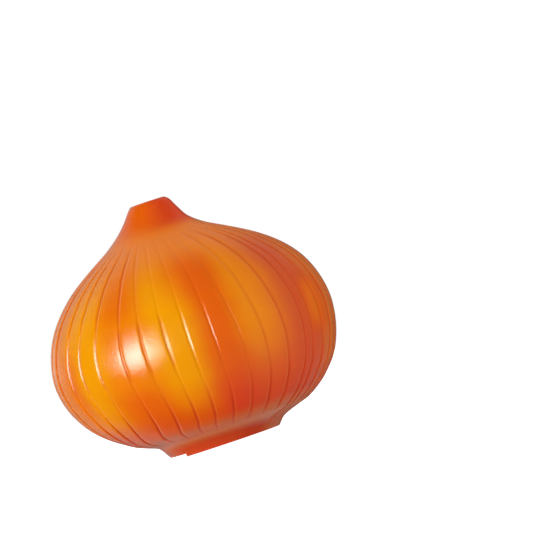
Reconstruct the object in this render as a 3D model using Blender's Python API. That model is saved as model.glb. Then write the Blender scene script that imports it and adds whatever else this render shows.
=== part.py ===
"""A toy onion that pulls apart into two halves, in metres, +Z up, origin under the middle of its root.

Each half is a grooved orange shell closed by a cream plate, which is its cut face. A round patch of
hook-and-loop tape sits in each plate, and the two patches hold the halves together.
"""

import math
import random

import bmesh
import bpy

# Clearances
PARTING_GAP = 0.0003
TOUCH_GAP = 0.0003

# Outline from the root to the neck: height, radius, and how far the slice lies to the right
OUTLINE = (
    (0.0000, 0.0147, 0.0000),
    (0.0008, 0.0152, 0.0001),
    (0.0020, 0.0163, 0.0004),
    (0.0029, 0.0176, 0.0012),
    (0.0040, 0.0198, 0.0024),
    (0.0044, 0.0209, 0.0026),
    (0.0050, 0.0224, 0.0024),
    (0.0061, 0.0247, 0.0020),
    (0.0076, 0.0270, 0.0018),
    (0.0097, 0.0297, 0.0014),
    (0.0128, 0.0328, 0.0010),
    (0.0165, 0.0351, 0.0006),
    (0.0215, 0.0371, 0.0002),
    (0.0280, 0.0380, 0.0000),
    (0.0345, 0.0369, 0.0000),
    (0.0405, 0.0343, 0.0000),
    (0.0455, 0.0303, -0.0001),
    (0.0497, 0.0254, -0.0004),
    (0.0534, 0.0195, -0.0007),
    (0.0567, 0.0137, -0.0009),
    (0.0596, 0.0099, -0.0007),
    (0.0625, 0.0075, -0.0001),
    (0.0652, 0.0057, 0.0003),
    (0.0658, 0.0051, 0.0003),
    (0.0662, 0.0046, 0.0002),
)
TOTAL_HEIGHT = OUTLINE[-1][0]
SHELL_ROW_LENGTH = 0.0031
PLATE_ROW_LENGTH = 0.0050

# Grooves down the shell: azimuths in degrees from the middle of each half towards +X
FRONT_GROOVES = (
    -81.6, -73.4, -61.0, -51.9, -41.8, -29.1, -19.5, -10.0, -1.3,
    8.3, 18.0, 27.6, 37.9, 48.2, 53.6, 62.0, 70.7, 79.6,
)  # fmt: skip
BACK_GROOVE_COUNT = 18
BACK_GROOVE_JITTER = 1.4
BACK_GROOVE_SEED = 5
GROOVE_HALF_WIDTH = 0.00055
GROOVE_DEPTH = 0.00042
GROOVE_FADE = ((0.0035, 0.0065), (0.0530, 0.0585))

# The grooves crowd towards the parting plane near the root on the left, and near the neck on the right,
# lean in towards the neck on the left, and sway a little on the right
LOW_CROWDING = 0.92
LOW_CROWDING_REACH = 43.0
LOW_CROWDING_SPREAD = 0.25
LOW_CROWDING_HEIGHT = 0.0071
LOW_CROWDING_RISE = 0.00375
HIGH_CROWDING = 0.95
HIGH_CROWDING_REACH = 21.0
HIGH_CROWDING_SPAN = (0.0470, 0.0530)
CROWDING_FALL = 1.5
LEAN = 4.2
LEAN_SIDE = (-12.0, -42.0)
LEAN_HEIGHTS = (0.0317, 0.0528)
LOW_LEAN_SHARE = 0.35
MOST_CLIMB = 1.3
SWAY = 0.8
SWAY_SIDE = (5.0, 20.0)
SWAY_HEIGHT = 0.0215
SWAY_LENGTH = 0.0440
WIDEST_GROOVE_ANGLE = 2.6
FIRST_COLUMN = 0.00035
LEAST_COLUMN = 0.00012

# The shell's wall, the rim left round the plate, and the step under the left of the root
SHELL_WALL = 0.0026
RIM_WIDTH = 0.00135
CAVITY_SEGMENTS = 28
ROOT_STEP_X = -0.0103
ROOT_STEP_HEIGHT = 0.0008
CUTTER_REACH = 0.0200

# The cut-face plate and the cup behind it that holds the patch
PLATE_THICKNESS = 0.0016
CUP_DEPTH = 0.0027
CUP_WALL = 0.0015
LAYER_LINES = (0.24, 0.42, 0.62, 0.84)
LINE_HALF_WIDTH = 0.022
LINE_DEPTH = 0.0003
LINE_FADE = (0.0060, 0.0130)

# The round patches of hook-and-loop tape
PATCH_RADIUS = 0.0150
PATCH_THICKNESS = 0.0012
PATCH_CHAMFER = 0.0003
PATCH_SEGMENTS = 48
PATCH_HEIGHT = 0.0293

# Front half at -Y, back half at +Y
FRONT = -1
BACK = 1

# Base colour, roughness
ORANGE_PLASTIC = ((0.83, 0.24, 0.012, 1.0), 0.22)
CREAM_PLASTIC = ((0.97, 0.85, 0.38, 1.0), 0.45)
YELLOW_TAPE = ((0.95, 0.52, 0.03, 1.0), 0.90)


def clear_scene():
    for thing in list(bpy.data.objects):
        bpy.data.objects.remove(thing, do_unlink=True)


def ramp(value, start, end):
    """0 before start, 1 past end, with a smooth turn between them."""
    share = min(max((value - start) / (end - start), 0.0), 1.0)
    return share * share * (3.0 - 2.0 * share)


def outline_slope(station, column):
    before = OUTLINE[max(station - 1, 0)]
    after = OUTLINE[min(station + 1, len(OUTLINE) - 1)]
    return (after[column] - before[column]) / (after[0] - before[0])


def outline_value(height, column):
    """A cubic through the outline's stations."""
    station = 0
    while station < len(OUTLINE) - 2 and height >= OUTLINE[station + 1][0]:
        station += 1
    low = OUTLINE[station]
    high = OUTLINE[station + 1]
    span = high[0] - low[0]
    t = (height - low[0]) / span
    ease = t * t * (3.0 - 2.0 * t)
    leaving = (t - 1.0) * (t - 1.0) * t * span * outline_slope(station, column)
    arriving = (t - 1.0) * t * t * span * outline_slope(station + 1, column)
    return low[column] + (high[column] - low[column]) * ease + leaving + arriving


def radius_at(height):
    return outline_value(height, 1)


def shift_at(height):
    return outline_value(height, 2)


def row_heights(row_length):
    """Heights from root to neck, spaced by the outline's own length."""
    heights = [OUTLINE[0][0]]
    for low, high in zip(OUTLINE, OUTLINE[1:]):
        length = math.hypot(high[0] - low[0], high[1] - low[1])
        steps = max(1, round(length / row_length))
        for step in range(1, steps + 1):
            heights.append(low[0] + (high[0] - low[0]) * step / steps)
    return heights


def inset_profile(distance, row_length):
    """The outline moved inwards by distance, as heights and radii."""
    rows = [(height, radius_at(height)) for height in row_heights(row_length)]
    inset = []
    for index, (height, radius) in enumerate(rows):
        before = rows[max(index - 1, 0)]
        after = rows[min(index + 1, len(rows) - 1)]
        rise = after[0] - before[0]
        run = after[1] - before[1]
        length = math.hypot(rise, run)
        inner = (height + distance * run / length, radius - distance * rise / length)
        clear = all(math.dist(inner, row) > 0.98 * distance for row in rows)
        higher = not inset or inner[0] > inset[-1][0]
        if clear and higher and distance < inner[0] < TOTAL_HEIGHT - distance:
            inset.append(inner)
    return inset


def face_outline(distance, row_length):
    """The cut face's outline moved inwards by distance, as x and z, once round from the root's right end."""
    profile = inset_profile(distance, row_length)
    right = [(shift_at(height) + radius, height) for height, radius in profile]
    left = [(shift_at(height) - radius, height) for height, radius in profile]
    steps = math.ceil((right[0][0] - left[0][0]) / row_length)
    across = (right[0][0] - left[0][0]) / steps
    root = [(left[0][0] + across * step, left[0][1]) for step in range(1, steps)]
    return right + left[::-1] + root


def back_grooves():
    draw = random.Random(BACK_GROOVE_SEED)
    pitch = 180.0 / BACK_GROOVE_COUNT
    first = -90.0 + pitch / 2
    return [
        first + pitch * index + draw.uniform(-BACK_GROOVE_JITTER, BACK_GROOVE_JITTER)
        for index in range(BACK_GROOVE_COUNT)
    ]


def crowd(distance, amount, reach):
    """Draws in a groove's distance from the parting plane, most for the nearest ones."""
    return distance * (1.0 - amount * math.exp(-((distance / reach) ** CROWDING_FALL)))


def lean(azimuth, height):
    """How far the left-hand grooves lean in towards the neck."""
    start, end = LEAN_HEIGHTS
    climb = (height - start) / (end - start)
    if climb < 0.0:
        climb *= LOW_LEAN_SHARE
    return LEAN * ramp(azimuth, *LEAN_SIDE) * min(climb, MOST_CLIMB)


def sway(azimuth, height):
    """How far the right-hand grooves swing out below the middle and back in above it."""
    swing = math.cos(2.0 * math.pi * (height - SWAY_HEIGHT) / SWAY_LENGTH)
    return SWAY * ramp(azimuth, *SWAY_SIDE) * swing


def groove_azimuth(azimuth, height):
    """Where a groove runs at this height, in degrees."""
    azimuth += lean(azimuth, height) + sway(azimuth, height)
    pull = math.exp((LOW_CROWDING_HEIGHT - height) / LOW_CROWDING_RISE)
    low = LOW_CROWDING * min(pull, 1.0)
    low_reach = LOW_CROWDING_REACH * max(pull, 1.0) ** LOW_CROWDING_SPREAD
    high = HIGH_CROWDING * ramp(height, *HIGH_CROWDING_SPAN)
    from_left = crowd(azimuth + 90.0, low, low_reach)
    return 90.0 - crowd(180.0 - from_left, high, HIGH_CROWDING_REACH)


def groove_depth(height):
    (root_start, root_full), (neck_full, neck_start) = GROOVE_FADE
    return GROOVE_DEPTH * ramp(height, root_start, root_full) * (1.0 - ramp(height, neck_full, neck_start))


def slice_columns(grooves, height):
    """Azimuths in radians and depths across one slice, with an edge, a valley and an edge for each groove."""
    radius = radius_at(height)
    half_width = min(GROOVE_HALF_WIDTH / radius, math.radians(WIDEST_GROOVE_ANGLE))
    azimuths = []
    for groove in grooves:
        middle = math.radians(groove_azimuth(groove, height))
        azimuths += [middle - half_width, middle, middle + half_width]
    depths = [0.0, groove_depth(height), 0.0] * len(grooves)
    azimuths = spread(azimuths, math.pi / 2 - FIRST_COLUMN / radius, LEAST_COLUMN / radius)
    return list(zip([-math.pi / 2, *azimuths, math.pi / 2], [0.0, *depths, 0.0]))


def spread(azimuths, limit, least):
    """Keeps columns inside the limit on both sides and at least this far apart."""
    spaced = []
    for azimuth in azimuths:
        spaced.append(max(azimuth, spaced[-1] + least if spaced else -limit))
    for index in range(len(spaced) - 1, -1, -1):
        spaced[index] = min(spaced[index], limit)
        limit = spaced[index] - least
    return spaced


def half_slice(side, grooves, height):
    """One closed slice of a half: the grooved arc, then straight back along the parting plane."""
    ring = []
    for azimuth, depth in slice_columns(grooves, height):
        radius = radius_at(height) - depth
        x = shift_at(height) + radius * math.sin(azimuth)
        y = side * max(radius * math.cos(azimuth), PARTING_GAP / 2)
        ring.append((x, y, height))
    return ring


def solid_from_rings(name, rings):
    """Joins each ring of points to the next and closes the first and the last."""
    mesh_maker = bmesh.new()
    loops = [[mesh_maker.verts.new(point) for point in ring] for ring in rings]
    for lower, upper in zip(loops, loops[1:]):
        for index in range(len(lower)):
            following = (index + 1) % len(lower)
            mesh_maker.faces.new((lower[index], lower[following], upper[following], upper[index]))
    mesh_maker.faces.new(loops[0])
    mesh_maker.faces.new(loops[-1])
    bmesh.ops.recalc_face_normals(mesh_maker, faces=mesh_maker.faces)
    mesh = bpy.data.meshes.new(name)
    mesh_maker.to_mesh(mesh)
    mesh_maker.free()
    solid = bpy.data.objects.new(name, mesh)
    bpy.context.scene.collection.objects.link(solid)
    return solid


def finish_solid(solid, look):
    """Gives a solid its material and smooth shading."""
    colour, roughness = look
    material = bpy.data.materials.new(solid.name)
    material.use_nodes = True
    shader = material.node_tree.nodes["Principled BSDF"]
    shader.inputs["Base Color"].default_value = colour
    shader.inputs["Roughness"].default_value = roughness
    solid.data.materials.append(material)
    solid.data.shade_smooth()
    solid.data.set_sharp_from_angle(angle=math.radians(40))
    return solid


def mark_cutter(cutter):
    cutter.hide_render = True
    cutter.display_type = "WIRE"
    return cutter


def cavity_cutter():
    """The hollow inside both shells: the outline moved in by the wall and turned round the axis."""
    rings = []
    for height, radius in inset_profile(SHELL_WALL, PLATE_ROW_LENGTH):
        ring = []
        for segment in range(CAVITY_SEGMENTS):
            turn = 2 * math.pi * segment / CAVITY_SEGMENTS
            ring.append((shift_at(height) + radius * math.cos(turn), radius * math.sin(turn), height))
        rings.append(ring)
    return mark_cutter(solid_from_rings("cavity_cutter", rings))


def rebate_cutter():
    """The seat for both plates: the face's outline inside the rim, as deep as a plate and its gap."""
    outline = face_outline(RIM_WIDTH, PLATE_ROW_LENGTH)
    reach = PARTING_GAP / 2 + PLATE_THICKNESS + TOUCH_GAP
    rings = [[(x, y, z) for x, z in outline] for y in (-reach, reach)]
    return mark_cutter(solid_from_rings("rebate_cutter", rings))


def root_step_cutter():
    """Lifts the left of the root's underside."""
    corners = (
        (-CUTTER_REACH, -CUTTER_REACH),
        (ROOT_STEP_X, -CUTTER_REACH),
        (ROOT_STEP_X, CUTTER_REACH),
        (-CUTTER_REACH, CUTTER_REACH),
    )
    rings = [[(x, y, z) for x, y in corners] for z in (-ROOT_STEP_HEIGHT, ROOT_STEP_HEIGHT)]
    return mark_cutter(solid_from_rings("root_step_cutter", rings))


def shell(name, side, grooves, cutters):
    """A grooved half shell, hollowed and rebated for its plate."""
    rings = [half_slice(side, grooves, height) for height in row_heights(SHELL_ROW_LENGTH)]
    solid = solid_from_rings(name, rings)
    for cutter in cutters:
        cut = solid.modifiers.new(cutter.name, "BOOLEAN")
        cut.operation = "DIFFERENCE"
        cut.solver = "EXACT"
        cut.object = cutter
    return finish_solid(solid, ORANGE_PLASTIC)


def circle_point(x, z, radius):
    """The point at this radius from the patch's middle, in the direction of x and z."""
    away = math.hypot(x, z - PATCH_HEIGHT)
    return x / away * radius, PATCH_HEIGHT + (z - PATCH_HEIGHT) / away * radius


def cut_face(name, side):
    """A plate with engraved layer lines and a round recess, whose cup stands out behind."""
    outline = face_outline(RIM_WIDTH + TOUCH_GAP, PLATE_ROW_LENGTH)
    recess_radius = PATCH_RADIUS + TOUCH_GAP
    recess_depth = PATCH_THICKNESS + TOUCH_GAP
    inner = [circle_point(x, z, recess_radius) for x, z in outline]
    cup = [circle_point(x, z, recess_radius + CUP_WALL) for x, z in outline]

    def ring(points, depth):
        return [(x, side * (PARTING_GAP / 2 + depth), z) for x, z in points]

    def line_ring(share, depth):
        points = []
        for (near_x, near_z), (far_x, far_z) in zip(inner, outline):
            x = near_x + (far_x - near_x) * share
            z = near_z + (far_z - near_z) * share
            fading = ramp(abs(far_x), *LINE_FADE)
            points.append((x, side * (PARTING_GAP / 2 + depth * fading), z))
        return points

    rings = [ring(inner, recess_depth), ring(inner, 0.0)]
    for share in LAYER_LINES:
        rings.append(line_ring(share - LINE_HALF_WIDTH, 0.0))
        rings.append(line_ring(share, LINE_DEPTH))
        rings.append(line_ring(share + LINE_HALF_WIDTH, 0.0))
    rings.append(ring(outline, 0.0))
    rings.append(ring(outline, PLATE_THICKNESS))
    rings.append(ring(cup, PLATE_THICKNESS))
    rings.append(ring(cup, CUP_DEPTH))
    return finish_solid(solid_from_rings(name, rings), CREAM_PLASTIC)


def patch(name, side):
    """A round patch of tape with a chamfered edge, flush with its plate's face."""
    rings = []
    for radius, depth in (
        (PATCH_RADIUS, PATCH_THICKNESS),
        (PATCH_RADIUS, PATCH_CHAMFER),
        (PATCH_RADIUS - PATCH_CHAMFER, 0.0),
    ):
        ring = []
        for segment in range(PATCH_SEGMENTS):
            turn = 2 * math.pi * segment / PATCH_SEGMENTS
            y = side * (PARTING_GAP / 2 + depth)
            ring.append((radius * math.cos(turn), y, PATCH_HEIGHT + radius * math.sin(turn)))
        rings.append(ring)
    return finish_solid(solid_from_rings(name, rings), YELLOW_TAPE)


def build_onion():
    clear_scene()
    cutters = (cavity_cutter(), rebate_cutter(), root_step_cutter())
    shell("front_skin", FRONT, FRONT_GROOVES, cutters)
    shell("back_skin", BACK, back_grooves(), cutters)
    cut_face("front_cut_face", FRONT)
    cut_face("back_cut_face", BACK)
    patch("front_loop_pad", FRONT)
    patch("back_hook_pad", BACK)


build_onion()
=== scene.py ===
"""Looks of a toy onion: two glossy sprayed shells, cream cut faces and hook-and-loop patches.

Everything is in metres, +Z up, with the origin under the middle of the onion's root.
"""

import math
import random

import bpy
import numpy as np
from mathutils import Matrix, Vector


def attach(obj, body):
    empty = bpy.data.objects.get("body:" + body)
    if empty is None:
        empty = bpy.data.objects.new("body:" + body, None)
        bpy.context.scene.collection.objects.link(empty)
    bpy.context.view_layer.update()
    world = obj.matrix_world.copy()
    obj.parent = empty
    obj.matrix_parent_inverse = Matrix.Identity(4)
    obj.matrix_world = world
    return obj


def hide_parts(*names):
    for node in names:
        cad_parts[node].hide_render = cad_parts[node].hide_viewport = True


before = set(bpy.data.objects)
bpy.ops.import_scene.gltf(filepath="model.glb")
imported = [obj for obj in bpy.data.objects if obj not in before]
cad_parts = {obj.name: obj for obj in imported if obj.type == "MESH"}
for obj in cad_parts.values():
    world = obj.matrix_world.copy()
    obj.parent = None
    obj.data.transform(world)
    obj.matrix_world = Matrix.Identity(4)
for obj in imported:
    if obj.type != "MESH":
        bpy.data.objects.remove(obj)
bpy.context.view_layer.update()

# Gaps between the two cut faces, and between the two shells' rims, which close on each other
PARTING_GAP = 0.0003
SEAM_GAP = 0.0000005

# Outline from the root to the neck: height, radius, and how far the slice lies to the right
OUTLINE = (
    (0.0000, 0.0147, 0.0000),
    (0.0008, 0.0152, 0.0001),
    (0.0020, 0.0163, 0.0004),
    (0.0029, 0.0176, 0.0012),
    (0.0040, 0.0198, 0.0024),
    (0.0044, 0.0209, 0.0026),
    (0.0050, 0.0224, 0.0024),
    (0.0061, 0.0247, 0.0020),
    (0.0076, 0.0270, 0.0018),
    (0.0097, 0.0297, 0.0014),
    (0.0128, 0.0328, 0.0010),
    (0.0165, 0.0351, 0.0006),
    (0.0215, 0.0371, 0.0002),
    (0.0280, 0.0380, 0.0000),
    (0.0345, 0.0369, 0.0000),
    (0.0405, 0.0343, 0.0000),
    (0.0455, 0.0303, -0.0001),
    (0.0497, 0.0254, -0.0004),
    (0.0534, 0.0195, -0.0007),
    (0.0567, 0.0137, -0.0009),
    (0.0596, 0.0099, -0.0007),
    (0.0625, 0.0075, -0.0001),
    (0.0652, 0.0057, 0.0003),
    (0.0658, 0.0051, 0.0003),
    (0.0662, 0.0046, 0.0002),
)
TOTAL_HEIGHT = OUTLINE[-1][0]
ROW_LENGTH = 0.00075
FINE_ROW_LENGTH = 0.00035
FINE_ROWS = ((0.0, 0.0085), (0.0560, 0.0662))
SLOPE_STEP = 0.00005
ROOT_FLAT_RINGS = (0.0143, 0.0125, 0.0085, 0.0040)
NECK_FLAT_RINGS = (0.0041, 0.0028, 0.0013)
BELLY_SMOOTHING = (0.0090, 0.0560)
BELLY_SMOOTHING_PASSES = 8
EDGE_ROUND = 0.00025
SMOOTH_ANGLE = math.radians(50)
SAME_PLACE = 0.000002

# Where the grooves run: azimuths in degrees from the middle of each half towards +X
FRONT_GROOVES = (
    -81.6, -73.4, -61.0, -51.9, -41.8, -29.1, -19.5, -10.0, -1.3,
    8.3, 18.0, 27.6, 37.9, 48.2, 53.6, 62.0, 70.7, 79.6,
)  # fmt: skip
BACK_GROOVE_COUNT = 18
BACK_GROOVE_JITTER = 1.4
BACK_GROOVE_SEED = 5

# A groove's section: wider near the rims, steeper far left, and shallower off the belly in the middle.
# Its weights are kept at half their size, because a vertex weight ends at 1.
GROOVE_HALF_WIDTH = 0.00075
GROOVE_DEPTH = 0.00028
GROOVE_FLOOR = 0.05
GROOVE_ROOM = 0.4
GROOVE_WEIGHT_SCALE = 2.0
LIP_ROUNDING = 1.5
LIP_REACH = 2.0
RIM_GROOVES = (55.0, 74.0)
RIM_GROOVE_SHARE = 0.35
STEEP_GROOVES = (-52.0, -59.0)
STEEP_GROOVE_SHARE = 0.40
MIDDLE_GROOVES = (15.0, 35.0)
MIDDLE_SHALLOWING = 0.55
BELLY_SPAN = (0.0180, 0.0240, 0.0345, 0.0410)

# Heights at which the grooves set in and end, and those at which they set in on the skirt at the right
GROOVE_FADE = ((0.0033, 0.0066), (0.0510, 0.0585))
SKIRT_GROOVES = (35.0, 50.0)
SKIRT_FADE = (0.0, 0.0030)

# The grooves crowd towards the parting plane near the root on the left, and near the neck on the right
LOW_CROWDING = 0.92
LOW_CROWDING_REACH = 43.0
LOW_CROWDING_SPREAD = 0.25
LOW_CROWDING_HEIGHT = 0.0071
LOW_CROWDING_RISE = 0.00375
HIGH_CROWDING = 0.95
HIGH_CROWDING_REACH = 21.0
HIGH_CROWDING_SPAN = (0.0470, 0.0530)
CROWDING_FALL = 1.5
LEAN = 4.2
LEAN_SIDE = (-12.0, -42.0)
LEAN_HEIGHTS = (0.0317, 0.0528)
LOW_LEAN_SHARE = 0.35
MOST_CLIMB = 1.3
SWAY = 0.8
SWAY_SIDE = (5.0, 20.0)
SWAY_HEIGHT = 0.0215
SWAY_LENGTH = 0.0440

# The wall, its rounded rim at the parting plane, and the step under the left of the root
WALL = 0.00135
RIM_ROUND = 0.00028
RIM_COLUMNS = (0.0, 0.00006, 0.00014, 0.00028)
SMALLEST_RING = 0.0010
ROOT_STEP_X = -0.0097
ROOT_STEP_RUN = 0.0013
ROOT_STEP_HEIGHT = 0.0008
ROOT_EDGE_HEIGHT = 0.0012
ROOT_LIFTED_X = ROOT_STEP_X - 0.9 * ROOT_STEP_RUN

# Columns of vertices across a groove, in half widths, and between two grooves, in shares of the gap
GROOVE_COLUMNS = (-1.0, -0.7, -0.45, -0.2, 0.0, 0.2, 0.45, 0.7, 1.0)
FIELD_COLUMNS = (0.10, 0.30, 0.50, 0.70, 0.90)
ON_GROOVES = len(FRONT_GROOVES) * len(GROOVE_COLUMNS)
BETWEEN_GROOVES = (len(FRONT_GROOVES) + 1) * len(FIELD_COLUMNS)
COLUMN_COUNT = ON_GROOVES + BETWEEN_GROOVES + 2 * len(RIM_COLUMNS)

# The round patches of hook-and-loop tape, and the loops and hooks that stand on them
PATCH_RADIUS = 0.0150
PATCH_THICKNESS = 0.0012
PATCH_HEIGHT = 0.0293
PATCH_SIDES = 96
PATCH_MARGIN = 0.0006
TAPE_THICKNESS = 0.0006
TAPE_ROUND = 0.00012
WEAVE_TURN = math.radians(57.0)
YARN_SCALE = 870.0
PILE_ROOT = TAPE_THICKNESS - 0.00006
LOOP_PITCH = 0.00075
LOOP_RADIUS = 0.00022
LOOP_THREAD = 0.00005
LOOP_STRETCH = 1.9
LOOP_TURN = math.radians(70.0)
LOOP_LEAN = 0.35
LOOP_SEED = 11
HOOK_PITCH = 0.0009
HOOK_THREAD = 0.00007
HOOK_STEM = 0.00026
HOOK_RADIUS = 0.00016
HOOK_CURL = math.radians(205.0)
HOOK_TURN = math.radians(6.0)
HOOK_LEAN = 0.05
HOOK_SEED = 12

# Front half at -Y, back half at +Y
FRONT = -1
BACK = 1

# The photograph: its frame in pixels, the onion's lean in it, and where the belly's middle stands
FRAME_PIXELS = 533
METRES_PER_PIXEL = 0.0002612
PHOTO_LEAN = math.radians(18.5)
BELLY_PIXEL = (187.0, 321.0)
BELLY_POINT = Vector((0.00033, 0.0, 0.03322))
LENS = 400.0
SENSOR = 36.0

# The room as the gloss reflects it: in which directions each part of it sets in, and how bright it is
WALL_BEHIND = (0.2, 0.95)
WALL_AT_LEFT = (0.25, -0.30, 0.05, 0.50)
WALL_TOP = (0.60, 0.15)
WALL_FOOT = (-0.45, 0.05)
BRIGHT_BAND_TOP = (0.20, 0.12, 0.0, 0.5)
BRIGHT_BAND_FOOT = (-0.02, 0.06)
CEILING = (0.20, 0.60, 0.0, 0.45)
CEILING_BEHIND = (0.05, 0.65)
TABLE = (-0.10, -0.50, 0.0, 0.45)
TABLE_BEHIND = (0.3, 0.85)
ROOM_AT_LEFT = (0.5, -0.4, 0.5, 1.0)

# The table that the onion stands on, and its glow on the onion
FLOOR_RADIUS = 3.0
FLOOR_DROP = 0.0001
FLOOR_GLOW = 0.19
FLOOR_GREY = (0.8, 0.8, 0.8, 1.0)
WHITE = (1.0, 1.0, 1.0, 1.0)

# Softboxes: name, azimuth, elevation, distance, width and height, radiance, tint
WINDOWS = (
    ("window_core", -45.5, 6.0, 0.58, (0.26, 0.28), 10.0, (0.92, 0.83, 1.0)),
    ("window_middle", -45.0, 6.5, 0.60, (0.37, 0.38), 6.0, (1.0, 0.92, 0.88)),
    ("window_edge", -44.5, 6.5, 0.62, (0.49, 0.47), 4.2, (1.0, 0.97, 0.72)),
)
FILLS = (
    ("window_light", -67.0, 14.0, 0.80, (0.50, 0.60), 3.90, (1.0, 1.0, 1.0)),
    ("front_fill", 0.0, 8.0, 1.00, (1.20, 1.00), 1.62, (1.0, 1.0, 1.0)),
    ("right_fill", 72.0, 10.0, 1.00, (1.00, 1.00), 1.3, (1.0, 1.0, 1.0)),
    ("top_fill", 0.0, 80.0, 1.00, (1.20, 1.20), 1.0, (1.0, 1.0, 1.0)),
    ("back_fill", 152.0, 25.0, 1.00, (0.90, 0.90), 2.6, (1.0, 1.0, 1.0)),
)

# Base colours of the paints, among them painted sheen, painted reflections and painted shade
GOLDEN = (0.90, 0.335, 0.0, 1.0)
ORANGE = (0.87, 0.185, 0.002, 1.0)
RED_ORANGE = (0.80, 0.105, 0.004, 1.0)
RED = (0.77, 0.050, 0.015, 1.0)
# Orange made paler by a painted sheen, for the shoulders below the neck
ORANGE_WITH_PAINTED_SHEEN = (0.90, 0.212, 0.009, 1.0)
AMBER = (0.88, 0.235, 0.012, 1.0)
BRICK = (0.66, 0.080, 0.030, 1.0)
RUST = (0.70, 0.140, 0.035, 1.0)
# Tan and pale tan: partly the plastic's paint, partly a painted reflection of the white table below
TAN = (0.66, 0.160, 0.032, 1.0)
PALE_TAN = (0.74, 0.250, 0.085, 1.0)
FOLD_RED = (0.62, 0.045, 0.018, 1.0)
NECK_ORANGE = (0.80, 0.115, 0.0, 1.0)
NECK_RED = (0.74, 0.058, 0.012, 1.0)
SKIRT_RED = (0.71, 0.082, 0.020, 1.0)
# Groove red: partly paint, partly painted shade in the grooves
GROOVE_SHADE = (0.62, 0.050, 0.010, 1.0)
# A painted sheen on the grooves' inner lips
GROOVE_LIP_SHEEN = (0.93, 0.360, 0.100, 1.0)

# Strokes of the airbrush: the paint, and then these settings, in degrees, metres and shares
STROKE_SETTINGS = ("Middle", "Half Width", "Low", "High", "Softness", "Cover")
FRONT_STROKES = (
    (AMBER, 42.0, 24.0, -0.01, 0.08, 0.005, 0.95),
    (ORANGE, -76.0, 17.0, -0.01, 0.08, 0.005, 0.75),
    (ORANGE, -61.5, 7.0, 0.0165, 0.0335, 0.0040, 0.85),
    (RED_ORANGE, -29.0, 10.5, 0.0365, 0.0540, 0.0055, 0.72),
    (ORANGE, 3.0, 10.0, 0.0410, 0.0540, 0.0060, 0.75),
    (ORANGE, 0.0, 200.0, 0.0440, 0.08, 0.0060, 0.30),
    (ORANGE, 0.0, 200.0, -0.01, 0.0155, 0.0045, 0.60),
    (RED_ORANGE, -28.5, 13.5, 0.004, 0.0225, 0.0060, 0.85),
    (RED_ORANGE, 12.0, 10.5, 0.004, 0.0515, 0.0045, 0.92),
    (ORANGE, -27.5, 11.0, 0.0220, 0.0375, 0.0030, 0.80),
    (RED_ORANGE, 0.0, 200.0, -0.01, 0.0110, 0.0032, 0.90),
    (RED, 22.0, 26.0, -0.01, 0.0150, 0.0060, 0.60),
    (RED, 13.0, 9.0, 0.003, 0.0140, 0.0050, 0.60),
    (BRICK, 34.0, 26.0, -0.01, 0.0215, 0.0080, 0.65),
    (BRICK, 54.0, 16.0, -0.01, 0.0530, 0.0060, 0.90),
    (RUST, 84.0, 19.0, -0.01, 0.0530, 0.0060, 0.85),
    (RED_ORANGE, 62.0, 9.0, 0.0205, 0.0345, 0.0028, 0.72),
    # Painted reflection: a small bright amber oval on the right of the belly
    (AMBER, 59.5, 4.5, 0.0230, 0.0335, 0.0030, 0.42),
)
BACK_STROKES = (
    (AMBER, -44.0, 22.0, -0.01, 0.08, 0.0050, 0.90),
    (ORANGE, -76.0, 17.0, -0.01, 0.08, 0.0050, 0.75),
    (ORANGE, -8.0, 11.0, 0.0330, 0.0540, 0.0060, 0.75),
    (ORANGE, 26.0, 9.0, 0.0200, 0.0420, 0.0050, 0.60),
    (ORANGE, 0.0, 200.0, 0.0440, 0.08, 0.0060, 0.30),
    (ORANGE, 0.0, 200.0, -0.01, 0.0155, 0.0045, 0.60),
    (RED_ORANGE, -22.0, 9.0, 0.0040, 0.0510, 0.0050, 0.90),
    (RED_ORANGE, 36.0, 10.0, 0.0040, 0.0300, 0.0070, 0.80),
    (RED_ORANGE, 0.0, 200.0, -0.01, 0.0110, 0.0032, 0.90),
    (RED, -20.0, 12.0, 0.0030, 0.0150, 0.0060, 0.55),
    (BRICK, -58.0, 12.0, 0.0100, 0.0520, 0.0060, 0.60),
    (BRICK, 56.0, 13.0, -0.01, 0.0530, 0.0060, 0.80),
    (RUST, 84.0, 19.0, -0.01, 0.0530, 0.0060, 0.85),
)
END_STROKES = (
    # Painted sheen: a paler, milky orange over the shoulders, where the ceiling's reflection falls
    (ORANGE_WITH_PAINTED_SHEEN, 0.0, 200.0, 0.0500, 0.08, 0.0065, 0.95),
    (ORANGE, 24.0, 30.0, 0.0540, 0.0620, 0.0030, 0.40),
    # Over the root, tan bands that are partly paint and partly a painted reflection of the table, paler in a
    # line above the skirt and lower down on the right
    (TAN, 0.0, 200.0, -0.01, 0.0067, 0.0015, 0.85),
    (PALE_TAN, 0.0, 200.0, 0.0035, 0.0046, 0.0004, 0.50),
    (PALE_TAN, 64.0, 38.0, -0.01, 0.0046, 0.0008, 0.75),
    (SKIRT_RED, -8.0, 58.0, -0.01, 0.0029, 0.0007, 0.95),
    (FOLD_RED, 30.0, 15.0, -0.01, 0.0029, 0.0006, 0.50),
    (NECK_ORANGE, 0.0, 200.0, 0.0587, 0.08, 0.0030, 0.97),
    (NECK_RED, 52.0, 52.0, 0.0585, 0.08, 0.0016, 0.95),
)

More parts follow.
